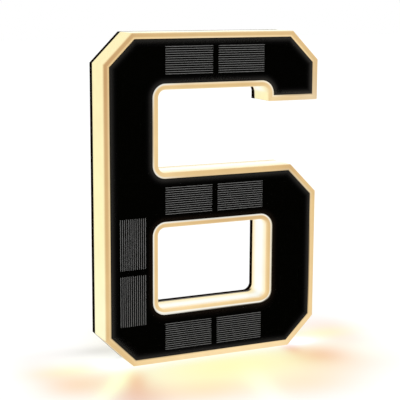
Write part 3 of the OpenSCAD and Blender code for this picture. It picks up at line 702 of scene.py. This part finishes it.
def shellGlow(info, upper, lower, grooveWidth):
    # screen colour of each point from its zone across the profile and its place on the digit
    inset, y, x, z, nx, nz = info.T
    d = diffuser
    front, seam, margin = sign["frontY"], sign["seamY"], 0.1
    along = np.clip((seam - y) / (seam - front), 0, 1)
    level = smooth(nz, 0.6, 0.9)
    wall = wallGlow(along, x, z, nx, nz, upper, lower)
    rim = rimGlow(inset, x, z, nx, nz, upper, lower, wall)
    colour = stepGlow(rim, inset, x, z, nx, smooth(nz, 0.5, 1) * lower, lower)

    # behind the front fillet the outermost points are the wall
    outermost = inset < 0.01
    onWall = smooth(y, front + 0.3, front + 1.8) * outermost
    colour = mixed(colour, wall, onWall)
    # the last bit of the wall before the cover is in shadow on the counter's floor
    floorEnd = smooth(-along, -0.13, -0.1) * outermost * level * lower
    colour = mixed(colour, shades["floorEnd"], floorEnd)
    # painted shade in the pocket round the panel and in the parting groove, and the inside glows
    inside = (y > d["webFront"] + margin) & (inset > 0.05)
    colour = mixed(colour, shades["inside"], inside.astype(float))
    pocket = (y > front + d["stepDrop"] + 0.05) & (y < d["webFront"] + margin) & (inset > d["wall"] + margin)
    groove = (y > seam - grooveWidth - 0.01) & (inset > margin) & (inset < d["wall"] - margin)
    colour = mixed(colour, shades["pocket"], np.maximum(pocket, groove * (1 - upper)))
    # what the room's light adds differs by the way a wall faces, and this evens it out
    even = 1.03 - 0.09 * smooth(nz, 0.2, 0.8) - 0.05 * (upper * level) - 0.06 * lower * level
    return linear(colour) * mixed([1.0], even[:, None], onWall)


def diffuserMaterial():
    graph = Graph("milkyDiffuser")
    glow = graph.attribute("glow")
    cloud = graph.sway(graph.noise(90, 3), 0.97, 1.03)
    speck = graph.sway(graph.noise(1400, 2), 0.985, 1.015)
    tone = graph.math("MULTIPLY", cloud, speck)

    def scaled(factor):
        node = graph.add("ShaderNodeVectorMath", operation="SCALE")
        graph.feed(node.inputs[0], glow)
        return graph.set(node, Scale=graph.math("MULTIPLY", tone, factor)).outputs[0]

    return graph.surface(graph.principled(
        Base_Color=scaled(diffuser["body"]), Emission_Color=scaled(diffuser["glow"]), Emission_Strength=1.0,
        Roughness=0.5, IOR=1.49, Specular_IOR_Level=0.12, Normal=graph.bump(graph.noise(1800, 2), 0.00003)))


def addDiffuser():
    d = diffuser
    shell = Gather()
    for contour, fillet, grooveWidth, inCounter in (
            (outerContour, d["outerFillet"], d["grooveWidth"], 0.0),
            (counterContour, d["counterFillet"], d["counterGroove"], 1.0)):
        profile = shellProfile(fillet, grooveWidth, d["grooveDepth"])
        points, quads, info = sweep(contour, profile)
        upper, lower = np.zeros(len(points)), np.full(len(points), inCounter)
        if contour is outerContour:
            upper = np.tile(softFlags(contour, sign["bayCorners"]), len(profile))
            # the groove closes in the upper bay
            closed = sweep(contour, shellProfile(fillet, grooveWidth, d["closedGroove"]))[0]
            points = mixed(points, closed, upper)
        shell.addSwept(contour, points, quads, glow=shellGlow(info, upper, lower, grooveWidth))

    # tube through the web for the panel leads
    x, z, r = d["leadHole"]
    hole, quads = turned([(r, d["webFront"]), (r, d["webBack"])], (x, z), d["holeSteps"])
    ring = np.arange(d["holeSteps"]) + shell.add(hole, quads, glow=linear(shades["inside"]))
    shell.fronts.append(ring)
    shell.backs.append(ring + d["holeSteps"])

    # closed posts for the cover screws, each with its pilot hole
    seam, root, pilotEnd = sign["seamY"], d["webBack"] - d["postRoot"], sign["seamY"] - d["pilotDepth"]
    post = [
        (0, root), (d["bossRadius"], root), (d["bossRadius"], seam),
        (d["pilotRadius"], seam), (d["pilotRadius"], pilotEnd), (0, pilotEnd),
    ]
    for place in screwPlaces:
        shell.add(*turned(post, place, d["postSteps"]), glow=linear(shades["post"]))

    mesh = shell.mesh("diffuserShell")
    addPiece("diffuserShell", mesh, diffuserMaterial(), ["diffuser_housing"])


addDiffuser()
print("diffuser made")

# Clear film over the panel
film = {
    "inset": 3.6,
    "front": sign["frontY"],
    "thickness": 0.3,
    "round": 0.16,
    "rows": [0.3, 0.5, 0.75, 1.0, 1.25, 1.6, 2.1, 2.7, 3.3, 3.9, 5.0],  # distances from the film's edge
    "cover": 0.15,  # how much of what lies below the painted stray light hides
    # where the painted stray light on the film fades inwards, and how bright it is
    "hazeInsets": [3.6, 4.4, 5.7, 7, 8.5],
    "hazeLevels": [20, 40, 23, 6, 1],  # on the screen's scale of 255
    "hazeGrey": (1.0, 0.96, 0.9),
    "hazeBrown": (1.0, 0.72, 0.5),
    "glint": (112, 104, 88),  # screen colours from here on
    "field": (2, 2, 1),
    "lowField": (11, 7, 5),
    "edgeDark": (30, 26, 20),
    "edgeLit": (225, 198, 150),
    "edgeHot": (252, 240, 212),
}


def hazeShade(inset, x, z, nx, lower):
    # screen colour of the painted stray light in the film, which fades inwards within 5 mm
    level = np.interp(inset, film["hazeInsets"], film["hazeLevels"])
    corner = smooth(x, 20, 60) * smooth(z, 110, 170)
    level = level * (1 + 0.3 * corner) * (1 - 0.35 * lower)
    grey = level[:, None] * np.array(film["hazeGrey"])
    brown = level[:, None] * np.array(film["hazeBrown"]) * 0.8
    colour = mixed(grey, brown, lower)
    # the counter's right side throws a bright line onto the film's edge
    glint = smooth(-nx, 0.5, 1) * lower * smooth(-inset, -3.95, -3.7)
    colour = mixed(colour, film["glint"], glint)
    low = smooth(-z, -60, 0) * smooth(-inset, -8.5, -6)
    return linear(np.maximum(colour, mixed(film["field"], film["lowField"], low)))


def edgeShade(nx, nz, lower):
    # screen colour of the film's cut edge, which carries the shell's light where it faces left or up
    outside = 0.4 * smooth(-nx, 0, 0.7) + 0.6 * smooth(nz, 0.3, 0.7)
    light = mixed(film["edgeDark"], film["edgeLit"], outside * (1 - lower))
    return linear(mixed(light, film["edgeHot"], smooth(-nx, 0.5, 1) * lower))


def filmEdgeMaterial():
    graph = Graph("filmEdge")
    return graph.surface(graph.principled(
        Base_Color=(0.01, 0.01, 0.01), Emission_Color=graph.attribute("edge"), Emission_Strength=1.0,
        Roughness=0.5, Specular_IOR_Level=0.1))


def filmMaterial():
    graph = Graph("clearFilm")
    # the film glows with the painted stray light from the shell
    return graph.surface(graph.principled(
        Base_Color=(0, 0, 0), Emission_Color=graph.attribute("haze"), Emission_Strength=1.0,
        Alpha=film["cover"], Roughness=graph.sway(graph.noise(700, 3), 0.16, 0.26), IOR=1.45,
        Specular_IOR_Level=0.012))


def addFilm():
    front, back, r = film["front"], film["front"] + film["thickness"], film["round"]
    inset = film["inset"]
    profile = np.concatenate([
        [(inset, back)],
        arc(inset + r, front + r, r, 180, 270, 4),
        np.stack([inset + np.array(film["rows"]), np.full(len(film["rows"]), front)], 1),
    ])
    sheet = Gather()
    for contour, inCounter in ((outerContour, 0.0), (counterContour, 1.0)):
        points, quads, info = sweep(contour, profile)
        inset, depth, x, z, nx, nz = info.T
        lower = np.full(len(points), inCounter)
        # the film's back stays dark, as it would shine through; the painted stray light is on its front
        shade = hazeShade(inset, x, z, nx, lower) * (depth < back)[:, None]
        haze = np.clip(shade / film["cover"], 0, 1)
        sheet.addSwept(contour, points, quads, haze=haze, edge=edgeShade(nx, nz, lower))
    mesh = sheet.mesh("panelFilm")
    addPiece("panelFilm", mesh, filmMaterial(), ["front_film"])
    dressSides(mesh, filmEdgeMaterial())


addFilm()
print("film made")

# Solar panel
panel = {
    "board": (0.0004, 0.0004, 0.0003),
    "wafer": (0.0018, 0.0018, 0.0022),
    "silver": (0.38, 0.38, 0.37),
    "fingers": 13,
    "fingerWidth": 0.7,
    "fingerHeight": 0.1,
    "waferThickness": 0.2,
    "crest": (0.15, 0.35),  # shares of a finger's width where the bright crest ends and its sides start
    "stations": 9,  # sections along a cell
}


def cellMaterial():
    graph = Graph("solarCell")
    paste = graph.attribute("paste", "Fac")
    crystal = graph.make("ShaderNodeTexVoronoi", Scale=240.0, Vector=graph.objectPlace())
    shine = graph.span(crystal.outputs["Distance"], 0.0, 0.8, 0.0, 1.0)
    wafer = graph.mix(shine, tuple(v * 0.8 for v in panel["wafer"]), panel["wafer"])
    return graph.surface(graph.principled(
        Base_Color=graph.mix(paste, wafer, panel["silver"]), Roughness=graph.span(paste, 0, 1, 0.3, 0.5),
        Specular_IOR_Level=0.02))


def addCell(node, material):
    # The cell's section is carried along its length: each finger is half an ellipse on the wafer,
    # and the silver is bright on its crest and thins out to its sides.
    lowest, highest = boxOf(node)
    size, middle = highest - lowest, (highest + lowest) / 2
    upright = size[2] > size[0]
    length, width = max(size[0], size[2]), min(size[0], size[2])
    p = panel
    back = highest[1]
    waferTop = back - p["waferThickness"]
    pitch = (width - p["fingerWidth"]) / (p["fingers"] - 1)
    # points across a finger, as shares of its width, closer at its steep sides
    t = np.array([-0.5, -0.47, -0.4, -0.3, -0.2, -0.1, 0, 0.1, 0.2, 0.3, 0.4, 0.47, 0.5])
    starts = np.arange(p["fingers"]) * pitch - width / 2
    across = (starts[:, None] + (t + 0.5) * p["fingerWidth"]).ravel()
    height = np.tile(p["fingerHeight"] * np.sqrt(1 - (2 * t) ** 2), p["fingers"])
    paste = np.tile(1 - smooth(np.abs(t), *p["crest"]), p["fingers"])
    section = np.concatenate([
        np.stack([across, waferTop - height], 1), [(width / 2, back), (-width / 2, back)]])
    paste = np.concatenate([paste, [0, 0]])
    stations = np.linspace(-length / 2, length / 2, p["stations"])
    along = np.broadcast_to(stations[:, None], (len(stations), len(section)))
    side = np.broadcast_to(section[:, 0], along.shape)
    depth = np.broadcast_to(section[:, 1], along.shape)
    flat = (side, along) if upright else (along, side)
    points = np.stack([middle[0] + flat[0], depth, middle[2] + flat[1]], -1).reshape(-1, 3)
    end = np.array(tessellate_polygon([[Vector((a, b, 0)) for a, b in section.tolist()]]))
    faces = [gridFaces(len(stations), len(section)), end, end + len(points) - len(section)]
    mesh = makeMesh(
        node.replace("solar_", "silver_"), points, faces,
        {"paste": np.tile(paste, len(stations))[:, None] * np.ones(3)})
    mergeMesh(mesh, 1e-7, outward=True)
    addPiece(mesh.name, mesh, material, [node], angle=50)


def dress(nodes, material):
    # give CAD nodes a better material in their own slots
    for node in nodes:
        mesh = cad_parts[node].data
        if not mesh.materials:
            mesh.materials.append(material)
        for index in range(len(mesh.materials)):
            mesh.materials[index] = material


cellFinish = cellMaterial()
for node in sorted(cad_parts):
    if node.startswith("solar_cell_"):
        addCell(node, cellFinish)
dress(["solar_board"], plastic(
    "panelBlack", panel["board"], 0.4, specular=0.0, mottle=0.2, grain=1500, depth=0.00001))
print("panel dressed")

# Back cover, screws and button
cover = {
    "edge": 0.0003,  # width of the rounding in metres
    "screwEdge": 0.00012,
    "merge": 4e-6,
    "flatAngle": 4,  # faces that meet at less are joined
    "sharpAngle": 38,  # edges that turn by more are rounded
    "colour": (0.010, 0.0065, 0.0045),
    # painted shade: a darker, warmer black without reflection for the cover's sideways faces, with a trace of
    # the shell's glow
    "edgeColour": (0.0035, 0.0012, 0.0003),
    # painted light on the cover's sill under the upper bay: a pale base and a cream glow
    "sillColour": (0.2, 0.18, 0.15),
    "sillGlow": (0.75, 0.66, 0.45),
    "sillReach": 0.6,  # in mm
    "sillSlope": 0.3,
}


def beveled(name, node, material, width, segments):
    # a merged copy of a CAD node with its flat faces joined and its sharp edges rounded
    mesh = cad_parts[node].data.copy()
    mesh.name = name
    mergeMesh(mesh, cover["merge"], cover["flatAngle"])
    piece = addPiece(name, mesh, material, [node], angle=cover["sharpAngle"])
    sharp = np.empty(len(mesh.edges), bool)
    mesh.edges.foreach_get("use_edge_sharp", sharp)
    weights = mesh.attributes.new("bevel_weight_edge", "FLOAT", "EDGE")
    weights.data.foreach_set("value", sharp.astype(np.float32))
    rounding = piece.modifiers.new("rounding", "BEVEL")
    rounding.width = width
    rounding.segments = segments
    rounding.limit_method = "WEIGHT"
    rounding.harden_normals = True
    return piece


coverMaterial = plastic(
    "coverBlack", cover["colour"], 0.46, specular=0.35, mottle=0.25, grain=3800, depth=0.00006,
    dust=0.05, spread=0.1)
# the cover's sideways faces get this darker, warmer copy of its black: painted shade with a trace of the
# shell's glow
coverEdgeMaterial = plastic(
    "coverEdgeBlack", cover["edgeColour"], 0.6, specular=0.0, mottle=0.1, grain=3000)
baySillMaterial = plastic(
    "baySill", cover["sillColour"], 0.6, specular=0.0, mottle=0.02, grain=3000, depth=0.00001,
    emission=cover["sillGlow"])
screwMaterial = plastic(
    "screwBlack", (0.03, 0.029, 0.028), 0.32, metal=0.9, specular=0.5, mottle=0.3, grain=2600)


def lightSill(mesh):
    # the cover's edge under the upper bay is flooded with the shell's light and shows as a cream strip
    mesh.materials.append(baySillMaterial)
    sill = (sign["barHeight"] * 2 + sign["lowerCounter"]) * mm
    level = np.abs(faceValues(mesh, "center")[:, 2] - sill) < cover["sillReach"] * mm
    upward = faceValues(mesh, "normal")[:, 2] > cover["sillSlope"]
    weights = mesh.attributes["bevel_weight_edge"]
    for index in np.flatnonzero(level & upward).tolist():
        face = mesh.polygons[index]
        face.material_index = len(mesh.materials) - 1
        # the strip's own edges aren't rounded
        for corner in face.loop_indices:
            weights.data[mesh.loops[corner].edge_index].value = 0


backShell = beveled("backShell", "back_cover", coverMaterial, cover["edge"], 3)
dressSides(backShell.data, coverEdgeMaterial)
lightSill(backShell.data)
beveled("coverScrewSet", "cover_screws", screwMaterial, cover["screwEdge"], 2)
print("cover made")

# The button's cap, in mm
button = {
    "centre": (0.0, 100.5),
    "capRadius": 4.4,
    "flangeRadius": 6.0,
    "flangeThickness": 1.0,
    "flangeEdge": 0.15,
    "fillet": 0.1,
    "round": 0.35,
    "ring": 0.8,
    "dish": 0.4,
    "steps": 72,
}


def addButton():
    # cap and flange as one turned profile: flange, cap wall, rounded shoulder, flat ring, dished middle
    b = button
    lowest, highest = boxOf("mode_button")
    front, back = lowest[1], highest[1]
    flangeBack = front + b["flangeThickness"]
    r, edge, small = b["capRadius"], b["round"], b["fillet"]
    flange, bevel = b["flangeRadius"], b["flangeEdge"]
    dishEdge = r - b["ring"]
    dish = (dishEdge ** 2 + b["dish"] ** 2) / (2 * b["dish"])
    shoulder = arc(r - edge, back - edge, edge, 0, 90, 6)
    radii = np.linspace(dishEdge, 0, 10)
    bowl = np.stack([radii, back - b["dish"] + dish - np.sqrt(dish ** 2 - radii ** 2)], 1)
    profile = np.concatenate([
        [(0, front), (flange - bevel, front), (flange, front + bevel)],
        [(flange, flangeBack - bevel), (flange - bevel, flangeBack), (r + small, flangeBack)],
        [(r, flangeBack + small)], shoulder, [(dishEdge + small, back)], bowl,
    ])
    points, quads = turned(profile, b["centre"], b["steps"])
    mesh = makeMesh("buttonCap", points, [quads])
    mergeMesh(mesh)
    material = plastic("buttonGrey", (0.085, 0.083, 0.08), 0.5, grain=3200, depth=0.00005, mottle=0.1)
    addPiece("buttonCap", mesh, material, ["mode_button"], "button")


addButton()
print("button made")

# The pieces inside: nodes, colour, roughness and what differs from a plain look
looks = {
    "foamTape": (["panel_tape"], (0.62, 0.6, 0.56), 0.9, dict(grain=1200, depth=0.0001)),
    "redLead": (
        ["panel_leads", "strip_leads", "battery_leads"], (0.42, 0.02, 0.015), 0.35, dict(grain=1600)),
    "silicone": (
        ["lead_seal", "button_seal", "cover_gasket"], (0.2, 0.2, 0.2), 0.7, dict(grain=1800, depth=0.00004)),
    "whiteFrame": (["inner_frame"], (0.78, 0.77, 0.74), 0.5, dict(mottle=0.03, grain=2200)),
    "stripBoard": (
        ["led_strip_outer", "led_strip_inner"], (0.72, 0.69, 0.6), 0.4, dict(mottle=0.06, grain=900)),
    "lampPhosphor": (["leds_outer", "leds_inner"], (0.8, 0.55, 0.12), 0.3, dict(emission=(0.9, 0.62, 0.25))),
    "trayBlack": (["battery_tray"], (0.018, 0.018, 0.019), 0.55, dict(depth=0.00005)),
    "batteryCan": (["battery_upper", "battery_lower"], (0.16, 0.3, 0.06), 0.3, dict(coat=0.4, patch=140)),
    "platedSteel": (
        ["contact_plates", "contact_spring", "board_screws"], (0.55, 0.55, 0.54), 0.28,
        dict(metal=1.0, patch=300, grain=1500)),
    "circuitGreen": (["control_board"], (0.015, 0.1, 0.035), 0.3, dict(mottle=0.35, patch=700, coat=0.3)),
    "chipBlack": (["controller_chip", "mode_switch"], (0.012, 0.012, 0.013), 0.6, dict(grain=3000)),
    "ferrite": (["charge_coil"], (0.07, 0.065, 0.06), 0.55, dict(grain=2600, depth=0.00004)),
    "connectorIvory": (["wire_connectors"], (0.7, 0.63, 0.47), 0.4, dict(mottle=0.05)),
    "plungerWhite": (["switch_plunger"], (0.72, 0.72, 0.7), 0.4, dict(mottle=0.04)),
}

for name, (nodes, colour, roughness, changes) in looks.items():
    dress(nodes, plastic(name, colour, roughness, **changes))
print("inside dressed")

# Floor and light
floor = {
    "reach": 4000.0,  # from the middle to the edge, in mm
    "nearReach": 260,  # how far the grid stays even
    "points": 241,
    "growth": 9,
    "albedo": 0.3,
    "white": 1.07,
}

# Pools of light and shadow painted on the floor: middle x and y, half length and half width in mm,
# turn in degrees, and what each takes from red, green and blue.
pools = [
    (0, -34, 52, 26, 0, (0.0, 0.02, 0.45)),  # yellow before the foot, with a white line along it
    (0, -13, 46, 5, 0, (0.0, -0.02, -0.14)),
    (-61, -3, 12, 8, 0, (-0.12, -0.2, -0.4)),  # white-hot spot left of the foot in a pale ellipse
    (-84, -3, 17, 9, 0, (0.0, 0.0, 0.2)),
    (-74, -37, 26, 5, 52, (-0.08, -0.26, -0.1)),  # its beam, with an orange wedge on each side
    (-61, -32, 15, 5, 70, (0.06, 0.26, 0.24)),
    (-73, -62, 20, 13, 70, (0.14, 0.34, 0.36)),
    (-95, -30, 17, 13, 40, (0.06, 0.24, 0.34)),
    (-107, -4, 12, 18, 0, (0.03, 0.16, 0.22)),
    (-62, 27, 13, 7, 0, (0.16, 0.16, 0.16)),  # grey shadow behind the spot
    (-90, 32, 22, 10, 0, (0.07, 0.08, 0.09)),
    (62, -6, 9, 6, 0, (-0.1, -0.2, -0.5)),  # white-hot spot right of the foot in a peach halo
    (84, 2, 18, 9, 0, (0.0, -0.02, 0.18)),
    (100, 14, 14, 15, 0, (0.03, 0.16, 0.22)),
    (94, -14, 12, 12, 0, (0.03, 0.14, 0.16)),
    (63, -36, 14, 13, 20, (0.09, 0.32, 0.32)),  # orange wedge with a sharp point
    (52, -18, 8, 4, 75, (0.05, 0.22, 0.2)),
    (64, -60, 24, 16, 0, (0.04, 0.14, 0.18)),
    (-34, -70, 22, 15, 0, (0.0, 0.18, 0.28)),  # peach at the front, with a pale beam through it
    (26, -84, 24, 16, 0, (0.0, 0.16, 0.28)),
    (0, -80, 22, 6, 75, (-0.02, -0.14, -0.12)),
    (0, 46, 34, 22, 0, (0.0, 0.05, 0.26)),  # warm behind the foot
]


def floorColour(x, y):
    # white minus each pool's colour under its own turned bell curve
    colour = np.full((*x.shape, 3), floor["white"])
    for cx, cy, reach, width, turn, drop in pools:
        c, s = math.cos(math.radians(turn)), math.sin(math.radians(turn))
        along = (x - cx) * c + (y - cy) * s
        across = (y - cy) * c - (x - cx) * s
        bell = np.exp(-0.5 * ((along / reach) ** 2 + (across / width) ** 2))
        colour -= bell[..., None] * np.array(drop)
    return colour


def floorMaterial():
    graph = Graph("paleFloor")
    matt = graph.make("ShaderNodeBsdfDiffuse", Color=(floor["albedo"],) * 3)
    glow = graph.make("ShaderNodeEmission", Color=graph.attribute("paintedFloorLight"), Strength=graph.seen())
    both = graph.add("ShaderNodeAddShader")
    graph.feed(both.inputs[0], matt.outputs[0])
    graph.feed(both.inputs[1], glow.outputs[0])
    return graph.surface(both)


def addFloor():
    # a grid that is even near the sign, plus a high power of the way out that takes it to the edges
    t = np.linspace(-1, 1, floor["points"])
    spread = floor["nearReach"] * t + (floor["reach"] - floor["nearReach"]) * t ** floor["growth"]
    x, y = np.meshgrid(spread, spread, indexing="ij")
    points = np.stack([x, y, np.zeros_like(x)], -1).reshape(-1, 3)
    n = len(t)
    i, j = np.meshgrid(np.arange(n - 1), np.arange(n - 1), indexing="ij")
    quads = np.stack([i * n + j, (i + 1) * n + j, (i + 1) * n + j + 1, i * n + j + 1], -1).reshape(-1, 4)
    # the floor's colour for the eye: white with the painted pools of light and shadow, less the share that
    # the room's light gives it
    paintedFloorLight = np.maximum(floorColour(x, y) - floor["albedo"], 0).reshape(-1, 3)
    mesh = makeMesh("paleFloor", points, [quads], {"paintedFloorLight": paintedFloorLight})
    mesh.materials.append(floorMaterial())
    ground = bpy.data.objects.new("paleFloor", mesh)
    scene.collection.objects.link(ground)


addFloor()

light = {
    "room": 0.55,
    "sun": 1.7,
    "sunTurn": (50, 0, -32),  # in degrees
    "softness": 50,
    "fill": 0.7,
    "fillTurn": (55, 0, 150),
}


def addWorld():
    # a white room, dimmer for the light that it gives than for the eye
    graph = Graph("paleRoom", "worlds", "ShaderNodeOutputWorld")
    mix = graph.add("ShaderNodeMixShader")
    graph.feed(mix.inputs[0], graph.seen())
    for socket, strength in ((mix.inputs[1], light["room"]), (mix.inputs[2], 1.0)):
        white = graph.make("ShaderNodeBackground", Color=(1, 1, 1), Strength=strength)
        graph.feed(socket, white.outputs[0])
    scene.world = graph.surface(mix)


def addSun(name, strength, turn):
    data = bpy.data.lights.new(name, "SUN")
    data.energy = strength
    data.angle = math.radians(light["softness"])
    lamp = bpy.data.objects.new(name, data)
    lamp.rotation_euler = [math.radians(v) for v in turn]
    scene.collection.objects.link(lamp)


addWorld()
addSun("keyLight", light["sun"], light["sunTurn"])
addSun("backLight", light["fill"], light["fillTurn"])
print("stage lit")
